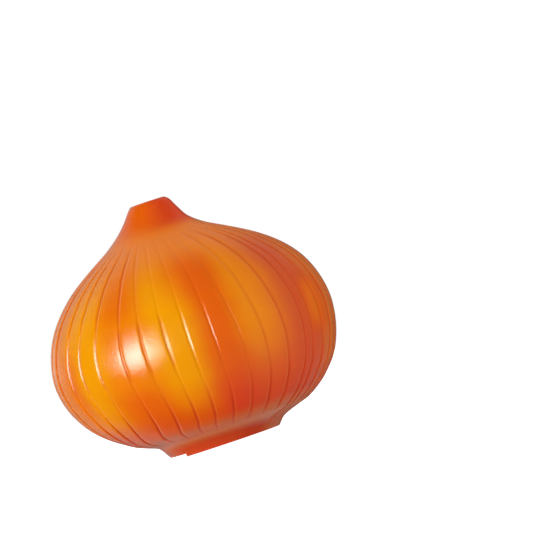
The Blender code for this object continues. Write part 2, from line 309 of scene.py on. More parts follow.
# Red paint and painted shade lying in the grooves: its edge, in half widths, and by azimuth or height where
# it thickens
GROOVE_PAINT_AND_SHADE_EDGE = (1.0, 0.8)
GROOVE_PAINT_AND_SHADE_AT_RIMS = (60.0, 72.0, 0.0, 0.70)
GROOVE_PAINT_AND_SHADE_ON_RIGHT = (20.0, 36.0, 0.0, 0.38)
GROOVE_PAINT_AND_SHADE_LOW = (0.0180, 0.0090, 0.0, 0.70)
GROOVE_PAINT_AND_SHADE_HIGH = (0.0330, 0.0430, 0.0, 0.40)
GROOVE_PAINT_AND_SHADE_HIGH_SIDE = (-14.0, -30.0)
# Painted shade: on the belly left of the middle, the grooves darken where the highlight falls, as their
# walls miss it
GROOVE_SHADE_IN_HIGHLIGHT = ((0.0220, 0.0250), (0.0380, 0.0350))
GROOVE_SHADE_IN_HIGHLIGHT_SIDE = (-4.0, -12.0, 0.0, 0.35)
MOST_GROOVE_PAINT_AND_SHADE = 0.80

# Across a groove, in half widths away from the onion's middle: the paint and painted shade, and a paler lip
# on the inner side, which is a painted sheen
OUTWARD = (8.0, 16.0, -1.0, 1.0)
VALLEY_PLACE = 0.15
VALLEY_SPAN = (0.70, 0.10)
LIP_PLACE = 0.75
LIP_SPAN = (0.42, 0.0)
LIP_SHARE = (20.0, 50.0, 0.05, 0.35)
HIGH_LIP_SHARE = 0.9
LOW_LIP_SHARE = 0.15

# The sprayed coat: how its zones wander, and its orange peel
WANDER_SCALE = 70.0
WANDER_DEGREES = 8.0
PEEL_SCALE = 2500.0
PEEL_HEIGHT = 0.000075
COAT_ROUGHNESS = 0.11

# Colours of the bare plastic, the plates with the painted shade in their engraved lines, and the tape
RIM_ORANGE = (0.83, 0.255, 0.016, 1.0)
RIM_ORANGE_DEEP = (0.74, 0.170, 0.010, 1.0)
CREAM = (0.973, 0.871, 0.385, 1.0)
CREAM_WARM = (0.970, 0.840, 0.330, 1.0)
LINE_SHADE_BROWN = (0.560, 0.430, 0.150, 1.0)
TAPE_YELLOW = (1.000, 0.620, 0.050, 1.0)
TAPE_ORANGE = (0.880, 0.360, 0.012, 1.0)
TAPE_FLECK = (1.000, 0.780, 0.300, 1.0)

# The plastics' clouds and grain: spots to the metre, and for the grain its roughness and height too
CLOUD_SPAN = (0.35, 0.75)
GRAIN_SPAN = (0.3, 0.7)
RIM_CLOUDS = 120.0
RIM_GRAIN = (2600.0, (0.26, 0.40), 0.00003)
CREAM_CLOUDS = 90.0
CREAM_GRAIN = (3000.0, (0.36, 0.50), 0.00002)

# The woven tape's yarns, with painted shade in the gaps between them, its worn flecks and its finish
YARN_WAVINESS = 0.8
YARN_SPAN = (0.05, 0.55)
YARN_HEIGHT = 0.00008
WEAR_SCALE = 2400.0
WEAR_SPAN = (0.56, 0.72)
TAPE_ROUGHNESS = 0.75
TAPE_SHEEN = 0.35

# The shades of the nylon thread, and the name, roughness and sheen of each kind
SHADE_SCALE = 1600.0
DEEP_SPAN = (0.30, 0.50)
FLECK_SPAN = (0.54, 0.70)
LOOP_NYLON = ("loop_thread", 0.80, 0.6)
HOOK_NYLON = ("hook_thread", 0.35, 0.0)

# Depths behind the cut face at which the engraved lines take their painted shade and lose it again
LINE_DEPTHS = (0.00004, 0.00026)
LINE_DEPTHS_END = (0.00034, 0.00045)
LINE_SHADE_TINT = 0.55


# Small helpers


def clear_selection():
    bpy.ops.object.select_all(action="DESELECT")


def ramp(value, start, end):
    """0 before start, 1 past end, with a smooth turn between them."""
    share = min(max((value - start) / (end - start), 0.0), 1.0)
    return share * share * (3.0 - 2.0 * share)


# The camera


def place_camera():
    """Looks at the onion squarely from the front, tilted until it leans left as in the photograph."""
    distance = FRAME_PIXELS * METRES_PER_PIXEL * LENS / SENSOR
    right = Vector((math.cos(PHOTO_LEAN), 0.0, -math.sin(PHOTO_LEAN)))
    up = Vector((math.sin(PHOTO_LEAN), 0.0, math.cos(PHOTO_LEAN)))
    middle = (FRAME_PIXELS - 1) / 2
    across = (middle - BELLY_PIXEL[0]) * METRES_PER_PIXEL
    above = (BELLY_PIXEL[1] - middle) * METRES_PER_PIXEL
    target = BELLY_POINT + across * right + above * up
    bpy.ops.object.camera_add(location=BELLY_POINT - Vector((0.0, distance, 0.0)))
    camera = bpy.context.object
    camera.name = "photo_camera"
    back = (camera.location - target).normalized()
    side = up.cross(back).normalized()
    turned = Matrix((side, back.cross(side), back)).transposed().to_4x4()
    camera.matrix_world = Matrix.Translation(camera.location) @ turned
    camera.data.lens = LENS
    camera.data.sensor_width = SENSOR
    camera.data.clip_start = 0.05
    camera.data.clip_end = 20.0
    bpy.context.scene.camera = camera


# Materials in general


def new_material(name):
    """A material with its node tree and its shader."""
    material = bpy.data.materials.new(name)
    material.use_nodes = True
    return material, material.node_tree, material.node_tree.nodes["Principled BSDF"]


def socket(tree, kind, inputs=None, output=0, **settings):
    """Adds a node, fills its inputs with links or values, and returns one of its outputs."""
    made = tree.nodes.new(kind)
    for name, value in settings.items():
        setattr(made, name, value)
    for name, value in (inputs or {}).items():
        if isinstance(value, bpy.types.NodeSocket):
            tree.links.new(value, made.inputs[name])
        else:
            made.inputs[name].default_value = value
    return made.outputs[output]


def maths(tree, operation, *values):
    """One step of arithmetic on links or values."""
    return socket(tree, "ShaderNodeMath", dict(enumerate(values)), operation=operation)


def blend_colours(tree, share, first, second):
    """Mixes two colours, whose sockets on the node are numbers 6 and 7 and its result number 2."""
    made = tree.nodes.new("ShaderNodeMix")
    made.data_type = "RGBA"
    for index, value in ((0, share), (6, first), (7, second)):
        if isinstance(value, bpy.types.NodeSocket):
            tree.links.new(value, made.inputs[index])
        else:
            made.inputs[index].default_value = value
    return made.outputs[2]


def eased(tree, value, start, end, low=0.0, high=1.0):
    """A smooth step from low at start to high at end."""
    inputs = {"Value": value, "From Min": start, "From Max": end, "To Min": low, "To Max": high}
    return socket(tree, "ShaderNodeMapRange", inputs, interpolation_type="SMOOTHSTEP")


def place_on_piece(tree):
    """Object coordinates, which for every piece are the part's own metres."""
    return socket(tree, "ShaderNodeTexCoord", output=3)


def noise(tree, place, scale, detail):
    """A cloudy pattern of this many spots to the metre."""
    return socket(tree, "ShaderNodeTexNoise", {"Vector": place, "Scale": scale, "Detail": detail})


def roughen(tree, shader, relief, height):
    """Turns a pattern into fine relief of this height."""
    bump = socket(tree, "ShaderNodeBump", {"Height": relief, "Strength": 1.0, "Distance": height})
    tree.links.new(bump, shader.inputs["Normal"])


# The room, the table and the lights


def room_glow(tree, x, y, z):
    """How bright the room is in a direction: the wall behind the onion, the ceiling and the table."""
    level = maths(tree, "MULTIPLY", eased(tree, z, *WALL_TOP), eased(tree, z, *WALL_FOOT))
    band = maths(tree, "MULTIPLY", eased(tree, z, *BRIGHT_BAND_TOP), eased(tree, z, *BRIGHT_BAND_FOOT))
    wall = maths(tree, "MULTIPLY", eased(tree, y, *WALL_BEHIND), eased(tree, x, *WALL_AT_LEFT))
    wall = maths(tree, "MULTIPLY", wall, maths(tree, "ADD", level, band))
    ceiling = maths(tree, "MULTIPLY", eased(tree, z, *CEILING), eased(tree, y, *CEILING_BEHIND))
    table = maths(tree, "MULTIPLY", eased(tree, z, *TABLE), eased(tree, y, *TABLE_BEHIND))
    room = maths(tree, "MULTIPLY", maths(tree, "ADD", ceiling, table), eased(tree, x, *ROOM_AT_LEFT))
    return maths(tree, "ADD", wall, room)


def white_room():
    """A world that is white to the camera and, in reflections, brightest behind and to the left."""
    world = bpy.data.worlds.new("white_room")
    world.use_nodes = True
    tree = world.node_tree
    tree.nodes.clear()
    direction = socket(tree, "ShaderNodeTexCoord", output=0)
    axes = tree.nodes.new("ShaderNodeSeparateXYZ")
    tree.links.new(direction, axes.inputs[0])
    ray = tree.nodes.new("ShaderNodeLightPath").outputs
    glow = maths(tree, "MULTIPLY", room_glow(tree, *axes.outputs), ray["Is Glossy Ray"])
    reflected = socket(tree, "ShaderNodeBackground", {"Color": WHITE, "Strength": glow})
    seen = socket(tree, "ShaderNodeBackground", {"Color": WHITE, "Strength": 1.0})
    mixed = socket(tree, "ShaderNodeMixShader", {0: ray["Is Camera Ray"], 1: reflected, 2: seen})
    tree.links.new(mixed, tree.nodes.new("ShaderNodeOutputWorld").inputs["Surface"])
    bpy.context.scene.world = world


def white_floor():
    """A wide pale table, overexposed to white around the onion."""
    place = (0.0, 0.0, -FLOOR_DROP)
    bpy.ops.mesh.primitive_circle_add(vertices=64, radius=FLOOR_RADIUS, fill_type="NGON", location=place)
    floor = bpy.context.object
    floor.name = "floor"
    material = bpy.data.materials.new("white_table")
    material.use_nodes = True
    tree = material.node_tree
    tree.nodes.clear()
    diffuse = socket(tree, "ShaderNodeBsdfDiffuse", {"Color": FLOOR_GREY})
    glow = socket(tree, "ShaderNodeEmission", {"Color": WHITE, "Strength": 1.0})
    lit = socket(tree, "ShaderNodeAddShader", {0: diffuse, 1: glow})
    ray = tree.nodes.new("ShaderNodeLightPath").outputs["Is Camera Ray"]
    soft_glow = socket(tree, "ShaderNodeEmission", {"Color": WHITE, "Strength": FLOOR_GLOW})
    softly_lit = socket(tree, "ShaderNodeAddShader", {0: diffuse, 1: soft_glow})
    shown = socket(tree, "ShaderNodeMixShader", {0: ray, 1: softly_lit, 2: lit})
    tree.links.new(shown, tree.nodes.new("ShaderNodeOutputMaterial").inputs["Surface"])
    floor.data.materials.append(material)
    floor.visible_glossy = False


def softbox(name, azimuth, elevation, distance, size, radiance, tint):
    """An area light that faces the belly; azimuth 0 is the front and positive towards +X."""
    turn = math.radians(azimuth)
    rise = math.radians(elevation)
    away = Vector((math.sin(turn) * math.cos(rise), -math.cos(turn) * math.cos(rise), math.sin(rise)))
    bpy.ops.object.light_add(type="AREA", location=BELLY_POINT + away * distance)
    light = bpy.context.object
    light.name = name
    light.rotation_mode = "QUATERNION"
    light.rotation_quaternion = away.to_track_quat("Z", "Y")
    light.data.shape = "RECTANGLE"
    light.data.size, light.data.size_y = size
    light.data.energy = radiance * math.pi * size[0] * size[1]
    light.data.color = tint
    light.visible_camera = False
    return light


def light_studio():
    """Round windows that only show as highlights, and softboxes that only light."""
    for window in WINDOWS:
        light = softbox(*window)
        light.data.shape = "ELLIPSE"
        light.data.energy *= math.pi / 4
        light.visible_diffuse = False
    for fill in FILLS:
        light = softbox(*fill)
        light.visible_glossy = False


# The outline


def outline_slope(station, column):
    """The outline's slope at a station, between its two neighbours."""
    before = OUTLINE[max(station - 1, 0)]
    after = OUTLINE[min(station + 1, len(OUTLINE) - 1)]
    return (after[column] - before[column]) / (after[0] - before[0])


def outline_value(height, column):
    """A cubic through the outline's stations."""
    station = 0
    while station < len(OUTLINE) - 2 and height >= OUTLINE[station + 1][0]:
        station += 1
    low = OUTLINE[station]
    high = OUTLINE[station + 1]
    span = high[0] - low[0]
    t = (height - low[0]) / span
    ease = t * t * (3.0 - 2.0 * t)
    leaving = (t - 1.0) * (t - 1.0) * t * span * outline_slope(station, column)
    arriving = (t - 1.0) * t * t * span * outline_slope(station + 1, column)
    return low[column] + (high[column] - low[column]) * ease + leaving + arriving


def radius_at(height):
    return outline_value(height, 1)


def shift_at(height):
    return outline_value(height, 2)


def row_heights():
    """Heights up the outline, closer together at the root and the neck."""
    heights = [0.0]
    while heights[-1] < TOTAL_HEIGHT:
        here = heights[-1]
        fine = any(low <= here < high for low, high in FINE_ROWS)
        widening = radius_at(min(here + SLOPE_STEP, TOTAL_HEIGHT)) - radius_at(here)
        slope = math.hypot(1.0, widening / SLOPE_STEP)
        heights.append(here + (FINE_ROW_LENGTH if fine else ROW_LENGTH) / slope)
    heights[-1] = TOTAL_HEIGHT
    return heights


def turning_points():
    """Radius and height from the middle of the root, round the outline, to the middle of the neck."""
    side = [(radius_at(height), height) for height in row_heights()]
    root = [(radius, 0.0) for radius in (0.0, *reversed(ROOT_FLAT_RINGS))]
    neck = [(radius, TOTAL_HEIGHT) for radius in (*NECK_FLAT_RINGS, 0.0)]
    return root + side + neck


# Grooves


def back_grooves():
    """The back half's grooves, evenly spaced but each a little off its place."""
    draw = random.Random(BACK_GROOVE_SEED)
    pitch = 180.0 / BACK_GROOVE_COUNT
    first = -90.0 + pitch / 2
    return [
        first + pitch * index + draw.uniform(-BACK_GROOVE_JITTER, BACK_GROOVE_JITTER)
        for index in range(BACK_GROOVE_COUNT)
    ]


def crowd(distance, amount, reach):
    """Draws in a groove's distance from the parting plane, most for the nearest ones."""
    return distance * (1.0 - amount * math.exp(-((distance / reach) ** CROWDING_FALL)))


def lean(azimuth, height):
    """How far the left-hand grooves lean in towards the neck."""
    start, end = LEAN_HEIGHTS
    climb = (height - start) / (end - start)
    if climb < 0.0:
        climb *= LOW_LEAN_SHARE
    return LEAN * ramp(azimuth, *LEAN_SIDE) * min(climb, MOST_CLIMB)


def sway(azimuth, height):
    """How far the right-hand grooves swing out below the middle and back in above it."""
    swing = math.cos(2.0 * math.pi * (height - SWAY_HEIGHT) / SWAY_LENGTH)
    return SWAY * ramp(azimuth, *SWAY_SIDE) * swing


def groove_azimuth(azimuth, height):
    """Where a groove runs at this height, in degrees."""
    azimuth += lean(azimuth, height) + sway(azimuth, height)
    pull = math.exp((LOW_CROWDING_HEIGHT - height) / LOW_CROWDING_RISE)
    low = LOW_CROWDING * min(pull, 1.0)
    low_reach = LOW_CROWDING_REACH * max(pull, 1.0) ** LOW_CROWDING_SPREAD
    high = HIGH_CROWDING * ramp(height, *HIGH_CROWDING_SPAN)
    from_left = crowd(azimuth + 90.0, low, low_reach)
    return 90.0 - crowd(180.0 - from_left, high, HIGH_CROWDING_REACH)


def groove_fade(azimuth, height):
    """Grooves end in the fold over the root, but on the right they run on down the skirt."""
    (root_start, root_full), (neck_full, neck_start) = GROOVE_FADE
    on_skirt = ramp(azimuth, *SKIRT_GROOVES)
    root_start += (SKIRT_FADE[0] - root_start) * on_skirt
    root_full += (SKIRT_FADE[1] - root_full) * on_skirt
    return ramp(height, root_start, root_full) * (1.0 - ramp(height, neck_full, neck_start))


def groove_deepness(azimuth, height):
    """The middle grooves are shallower above and below the belly, and those far left are steeper."""
    low_end, low, high, high_end = BELLY_SPAN
    off_belly = ramp(height, low, low_end) + ramp(height, high, high_end)
    in_middle = 1.0 - ramp(abs(azimuth), *MIDDLE_GROOVES)
    steeper = STEEP_GROOVE_SHARE * ramp(azimuth, *STEEP_GROOVES)
    return (1.0 - MIDDLE_SHALLOWING * off_belly * in_middle) * (1.0 + steeper)


def groove_stops(grooves, height, radius, rim_turn):
    """Azimuths of the grooves across a slice, with the rims' inner edges, and the half width at each."""
    inside_rim = 1.0 - rim_turn / 90.0
    middles = [inside_rim * groove_azimuth(groove, height) for groove in grooves]
    stops = [-90.0 + rim_turn, *middles, 90.0 - rim_turn]
    widest = math.degrees(GROOVE_HALF_WIDTH / radius)
    halves = [0.0]
    for before, here, after in zip(stops, stops[1:], stops[2:]):
        wide = widest * (1.0 + RIM_GROOVE_SHARE * ramp(abs(here), *RIM_GROOVES))
        halves.append(min(wide, GROOVE_ROOM * min(here - before, after - here)))
    return stops, [*halves, 0.0]


def groove_columns(middle, half, height, radius):
    """Columns across one groove, which is shallower where it is narrow."""
    widest = math.degrees(GROOVE_HALF_WIDTH / radius)
    depth = groove_fade(middle, height) * groove_deepness(middle, height) * half / widest
    columns = []
    for offset in GROOVE_COLUMNS:
        share = depth * ramp(abs(offset), 1.0, GROOVE_FLOOR) ** LIP_ROUNDING
        columns.append((middle + offset * half, share, abs(offset), offset))
    return columns


def field_columns(stops, halves, index):
    """Columns between two neighbouring stops, and their reach from the nearer groove."""
    start = stops[index] + halves[index]
    end = stops[index + 1] - halves[index + 1]
    first = index == 0
    last = index == len(stops) - 2
    columns = []
    for share in FIELD_COLUMNS:
        azimuth = start + (end - start) * share
        left_reach = LIP_REACH if first else (azimuth - stops[index]) / halves[index]
        right_reach = LIP_REACH if last else (stops[index + 1] - azimuth) / halves[index + 1]
        columns.append((azimuth, 0.0, min(left_reach, right_reach, LIP_REACH), 0.0))
    return columns


def slice_columns(grooves, height, radius):
    """Azimuth, groove share, reach in half widths and side of each column across a slice, left to right."""
    radius = max(radius, SMALLEST_RING)
    rim = [math.degrees(math.asin((SEAM_GAP / 2 + distance) / radius)) for distance in RIM_COLUMNS]
    stops, halves = groove_stops(grooves, height, radius, rim[-1])
    columns = [(-90.0 + angle, 0.0, LIP_REACH, 0.0) for angle in rim]
    columns += field_columns(stops, halves, 0)
    for index in range(1, len(stops) - 1):
        columns += groove_columns(stops[index], halves[index], height, radius)
        columns += field_columns(stops, halves, index)
    columns += [(90.0 - angle, 0.0, LIP_REACH, 0.0) for angle in reversed(rim)]
    return columns


# The shells


def wire_outline(name):
    """The outline as a wire, extruded point by point from the root's middle to the neck's."""
    clear_selection()
    bpy.ops.mesh.primitive_plane_add(size=0.001, location=(0.0, 0.0, 0.0))
    piece = bpy.context.object
    piece.name = name
    piece.data.name = name
    bpy.ops.object.mode_set(mode="EDIT")
    bpy.ops.mesh.select_mode(type="VERT")
    bpy.ops.mesh.select_all(action="SELECT")
    bpy.ops.mesh.merge(type="CENTER")
    points = turning_points()
    for (radius, height), (next_radius, next_height) in zip(points, points[1:]):
        step = (next_radius - radius, 0.0, next_height - height)
        bpy.ops.mesh.extrude_region_move(TRANSFORM_OT_translate={"value": step})
    return piece


def select_points(piece, chosen):
    """In edit mode, selects the vertices that a rule chooses by their place."""
    bpy.ops.mesh.select_mode(type="VERT")
    bpy.ops.mesh.select_all(action="DESELECT")
    bpy.ops.object.mode_set(mode="OBJECT")
    for vertex in piece.data.vertices:
        vertex.select = chosen(vertex.co)
    bpy.ops.object.mode_set(mode="EDIT")


def select_faces(piece, chosen):
    """In edit mode, selects the faces that a rule chooses by their middle."""
    bpy.ops.mesh.select_mode(type="FACE")
    bpy.ops.mesh.select_all(action="DESELECT")
    bpy.ops.object.mode_set(mode="OBJECT")
    for face in piece.data.polygons:
        face.select = chosen(face.center)
    bpy.ops.object.mode_set(mode="EDIT")


def turned_half(name, side):
    """Smooths the wire's belly, rounds its two edges and spins it half round."""
    piece = wire_outline(name)
    select_points(piece, lambda place: BELLY_SMOOTHING[0] < place.z < BELLY_SMOOTHING[1])
    bpy.ops.mesh.vertices_smooth(factor=0.5, repeat=BELLY_SMOOTHING_PASSES)
    for height, radius in (OUTLINE[0][:2], OUTLINE[-1][:2]):
        select_points(piece, lambda place: math.hypot(place.x - radius, place.z - height) < SAME_PLACE)
        bpy.ops.mesh.bevel(affect="VERTICES", offset=EDGE_ROUND, segments=3)
    bpy.ops.mesh.select_all(action="SELECT")
    half_turn = -side * math.pi
    bpy.ops.mesh.spin(steps=COLUMN_COUNT - 1, angle=half_turn, center=(0.0, 0.0, 0.0), axis=(0.0, 0.0, 1.0))
    bpy.ops.object.mode_set(mode="OBJECT")
    return piece


def spun_column(place, radius):
    """Which column of the spin a vertex stands in."""
    turn = math.asin(place.x / radius) if radius > SAME_PLACE else 0.0
    return round((turn / math.pi + 0.5) * (COLUMN_COUNT - 1))


def rim_rounding(column):
    """How far a column near the rim is drawn in, in shares of the rim's round."""
    nearest = min(column, COLUMN_COUNT - 1 - column)
    if nearest >= len(RIM_COLUMNS) - 1:
        return 0.0
    left = 1.0 - RIM_COLUMNS[nearest] / RIM_ROUND
    return 1.0 - math.sqrt(1.0 - left * left)


def shape_columns(piece, side, grooves):
    """Moves the spun columns to the grooves, and paints the groove and rim weights and the shell's map."""
    mesh = piece.data
    groove_weights = piece.vertex_groups.new(name="groove")
    rim_weights = piece.vertex_groups.new(name="rim")
    reaches = np.zeros(len(mesh.vertices), np.float32)
    sides = np.zeros(len(mesh.vertices), np.float32)
    places = np.zeros((len(mesh.vertices), 2), np.float32)
    slices = {}
    for index, vertex in enumerate(mesh.vertices):
        radius = math.hypot(vertex.co.x, vertex.co.y)
        height = min(max(vertex.co.z, 0.0), TOTAL_HEIGHT)
        row = (round(radius, 7), round(height, 7))
        if row not in slices:
            slices[row] = (shift_at(height), slice_columns(grooves, height, radius))
        shift, columns = slices[row]
        column = spun_column(vertex.co, radius)
        azimuth, share, reaches[index], sides[index] = columns[column]
        turn = math.radians(azimuth)
        x = shift + radius * math.sin(turn)
        y = side * max(radius * math.cos(turn), SEAM_GAP / 2)
        vertex.co = (x, y, vertex.co.z)
        if share > 0.0:
            groove_weights.add([index], share / GROOVE_WEIGHT_SCALE, "REPLACE")
        rounding = rim_rounding(column)
        if rounding > 0.0:
            rim_weights.add([index], rounding, "REPLACE")
        places[index] = ((azimuth + 90.0) / 180.0, height / TOTAL_HEIGHT)
    keep_shell_map(mesh, reaches, sides, places)


def keep_shell_map(mesh, reaches, sides, places):
    """Keeps azimuth and height as a UV map, and the distance from the nearest groove as attributes."""
    mesh.attributes.new("groove_reach", "FLOAT", "POINT").data.foreach_set("value", reaches)
    mesh.attributes.new("groove_side", "FLOAT", "POINT").data.foreach_set("value", sides)
    corners = np.zeros(len(mesh.loops), np.int32)
    mesh.loops.foreach_get("vertex_index", corners)
    shell_map = mesh.uv_layers.active or mesh.uv_layers.new()
    shell_map.name = "shell_map"
    shell_map.data.foreach_set("uv", places[corners].ravel())


def apply_modifier(piece, kind, **settings):
    """Gives a piece a modifier with these settings, and applies it."""
    modifier = piece.modifiers.new(kind.lower(), kind)
    for name, value in settings.items():
        setattr(modifier, name, value)
    bpy.context.view_layer.objects.active = piece
    bpy.ops.object.modifier_apply(modifier=modifier.name)


def raise_root_step(piece):
    """Cuts the root's underside at the step and lifts its left part."""
    bpy.ops.object.mode_set(mode="EDIT")
    for x in (ROOT_STEP_X, ROOT_STEP_X - ROOT_STEP_RUN):
        select_faces(piece, lambda place: place.z < ROOT_EDGE_HEIGHT)
        bpy.ops.mesh.bisect(plane_co=(x, 0.0, 0.0), plane_no=(1.0, 0.0, 0.0))
    bpy.ops.object.mode_set(mode="OBJECT")
    for vertex in piece.data.vertices:
        if vertex.co.x < ROOT_LIFTED_X:
            vertex.co.z = max(vertex.co.z, ROOT_STEP_HEIGHT)


def shell(name, node, side, grooves, paint, plastic):
    """A half shell with rounded grooves and an even wall, painted outside, bare on its rim and inside."""
    piece = turned_half(name, side)
    shape_columns(piece, side, grooves)
    bpy.ops.object.mode_set(mode="EDIT")
    bpy.ops.mesh.select_all(action="SELECT")
    bpy.ops.mesh.remove_doubles(threshold=SAME_PLACE)
    bpy.ops.mesh.normals_make_consistent(inside=False)
    bpy.ops.object.mode_set(mode="OBJECT")
    groove_push = -GROOVE_DEPTH * GROOVE_WEIGHT_SCALE
    apply_modifier(piece, "DISPLACE", vertex_group="groove", strength=groove_push, mid_level=0.0)
    apply_modifier(piece, "DISPLACE", vertex_group="rim", strength=-RIM_ROUND, mid_level=0.0)
    piece.data.materials.append(paint)
    piece.data.materials.append(plastic)
    apply_modifier(piece, "SOLIDIFY", thickness=WALL, offset=-1.0, material_offset=1, material_offset_rim=1)
    raise_root_step(piece)
    bpy.ops.object.shade_smooth_by_angle(angle=SMOOTH_ANGLE)
    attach(piece, "root")
    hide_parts(node)
    return piece


# The patches


def settle(piece):
    """Puts a piece's place and turn into its mesh."""
    clear_selection()
    piece.select_set(True)
    bpy.context.view_layer.objects.active = piece
    bpy.ops.object.transform_apply(location=True, rotation=True, scale=True)


def backing_tape(material):
    """The round tape with a softened edge."""
    bpy.ops.mesh.primitive_cylinder_add(
        vertices=PATCH_SIDES,
        radius=PATCH_RADIUS,
        depth=TAPE_THICKNESS,
        location=(0.0, 0.0, TAPE_THICKNESS / 2),
    )
    tape = bpy.context.object
    settle(tape)
    apply_modifier(tape, "BEVEL", width=TAPE_ROUND, segments=2, limit_method="ANGLE")
    tape.data.materials.append(material)
    return tape


def loop_thread(corner):
    """One upright loop of thread: the top half of a ring, drawn out taller."""
    bpy.ops.mesh.primitive_torus_add(
        major_radius=LOOP_RADIUS,
        minor_radius=LOOP_THREAD,
        major_segments=12,
        minor_segments=5,
        rotation=(math.pi / 2, 0.0, 0.0),
    )
    loop = bpy.context.object
    settle(loop)
    bpy.ops.object.mode_set(mode="EDIT")
    bpy.ops.mesh.select_all(action="SELECT")
    bpy.ops.mesh.bisect(plane_co=(0.0, 0.0, 0.0), plane_no=(0.0, 0.0, 1.0), clear_inner=True, use_fill=True)
    bpy.ops.mesh.normals_make_consistent(inside=False)
    bpy.ops.object.mode_set(mode="OBJECT")
    loop.scale.z = LOOP_STRETCH
    loop.location = (corner, corner, PILE_ROOT)
    settle(loop)
    return loop


def hook_thread(corner):
    """One hook: a stem drawn up from a small disc, its end curled over and down."""
    bpy.ops.mesh.primitive_circle_add(vertices=5, radius=HOOK_THREAD, fill_type="NGON")
    hook = bpy.context.object
    bpy.ops.object.mode_set(mode="EDIT")
    bpy.ops.mesh.select_all(action="SELECT")
    bpy.ops.mesh.extrude_region_move(TRANSFORM_OT_translate={"value": (0.0, 0.0, HOOK_STEM)})
    bpy.ops.mesh.spin(steps=6, angle=HOOK_CURL, center=(HOOK_RADIUS, 0.0, HOOK_STEM), axis=(0.0, 1.0, 0.0))
    bpy.ops.mesh.select_all(action="SELECT")
    bpy.ops.mesh.remove_doubles(threshold=SAME_PLACE)
    bpy.ops.mesh.normals_make_consistent(inside=False)
    bpy.ops.object.mode_set(mode="OBJECT")
    hook.location = (corner - HOOK_RADIUS, corner, PILE_ROOT)
    settle(hook)
    return hook


def cell_of(place, pitch):
    """Column and row of the loop or hook that a place belongs to."""
    return round(place.x / pitch), round(place.y / pitch)


def cover_patch(thread, pitch, reach):
    """Repeats a loop or a hook in rows over the patch, and clears away those past its edge."""
    widest = PATCH_RADIUS - PATCH_MARGIN
    for step in ((pitch, 0.0, 0.0), (0.0, pitch, 0.0)):
        apply_modifier(
            thread,
            "ARRAY",
            count=2 * reach + 1,
            use_relative_offset=False,
            use_constant_offset=True,
            constant_offset_displace=step,
        )
    bpy.ops.object.mode_set(mode="EDIT")
    select_faces(thread, lambda place: math.hypot(*cell_of(place, pitch)) * pitch > widest)
    bpy.ops.mesh.delete(type="FACE")
    bpy.ops.object.mode_set(mode="OBJECT")


def tousle(thread, pitch, seed, most_turn, most_lean):
    """Turns and leans each loop or hook by its own amount, every second row facing back."""
    draw = random.Random(seed)
    poses = {}
    for vertex in thread.data.vertices:
        cell = cell_of(vertex.co, pitch)
        if cell not in poses:
            turn = draw.uniform(-most_turn, most_turn) + math.pi * (cell[1] % 2)
            poses[cell] = (turn, draw.uniform(-most_lean, most_lean), draw.uniform(-most_lean, most_lean))
        turn, lean_x, lean_y = poses[cell]
        x = vertex.co.x - cell[0] * pitch
        y = vertex.co.y - cell[1] * pitch
        rise = vertex.co.z - PILE_ROOT
        vertex.co.x += x * math.cos(turn) - y * math.sin(turn) - x + lean_x * rise
        vertex.co.y += x * math.sin(turn) + y * math.cos(turn) - y + lean_y * rise


def pile_of(thread_maker, pitch, seed, most_turn, most_lean, material):
    """The loops or hooks of one patch."""
    reach = int(PATCH_RADIUS / pitch)
    thread = thread_maker(-reach * pitch)
    cover_patch(thread, pitch, reach)
    tousle(thread, pitch, seed, most_turn, most_lean)
    thread.data.materials.append(material)
    return thread


def patch(name, node, side, tape, pile):
    """Joins the loops or hooks to their tape, and stands the patch up facing the parting plane."""
    clear_selection()
    pile.select_set(True)
    tape.select_set(True)
    bpy.context.view_layer.objects.active = tape
    bpy.ops.object.join()
    tape.rotation_euler = (0.0, 0.0, WEAVE_TURN)
    settle(tape)
    tape.rotation_euler = (side * math.pi / 2, 0.0, 0.0)
    tape.location = (0.0, side * (PARTING_GAP / 2 + PATCH_THICKNESS), PATCH_HEIGHT)
    settle(tape)
    bpy.ops.object.shade_smooth_by_angle(angle=SMOOTH_ANGLE)
    tape.name = name
    tape.data.name = name
    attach(tape, "root")
    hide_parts(node)
    return tape


# Paint, with painted sheen and painted shade


def airbrush():
    """A node group for one stroke of the airbrush: its cover, by azimuth and height on the shell's map."""
    group = bpy.data.node_groups.new("airbrush_stroke", "ShaderNodeTree")
    for name in ("Azimuth", "Height", *STROKE_SETTINGS):
        group.interface.new_socket(name=name, in_out="INPUT", socket_type="NodeSocketFloat")
    group.interface.new_socket(name="Cover", in_out="OUTPUT", socket_type="NodeSocketFloat")
    given = group.nodes.new("NodeGroupInput").outputs
    aside = maths(group, "SUBTRACT", given["Azimuth"], given["Middle"])
    aside = maths(group, "DIVIDE", aside, given["Half Width"])
    cubed = maths(group, "POWER", maths(group, "ABSOLUTE", aside), 3.0)
    across = maths(group, "EXPONENT", maths(group, "MULTIPLY", cubed, -1.0))
    below = maths(group, "SUBTRACT", given["Low"], given["Softness"])
    above = maths(group, "ADD", given["High"], given["Softness"])
    low_end = maths(group, "ADD", given["Low"], given["Softness"])
    high_end = maths(group, "SUBTRACT", given["High"], given["Softness"])
    rising = eased(group, given["Height"], below, low_end)
    falling = eased(group, given["Height"], high_end, above, 1.0, 0.0)
    up_and_down = maths(group, "MULTIPLY", rising, falling)
    cover = maths(group, "MULTIPLY", maths(group, "MULTIPLY", across, up_and_down), given["Cover"])
    group.links.new(cover, group.nodes.new("NodeGroupOutput").inputs["Cover"])
    return group


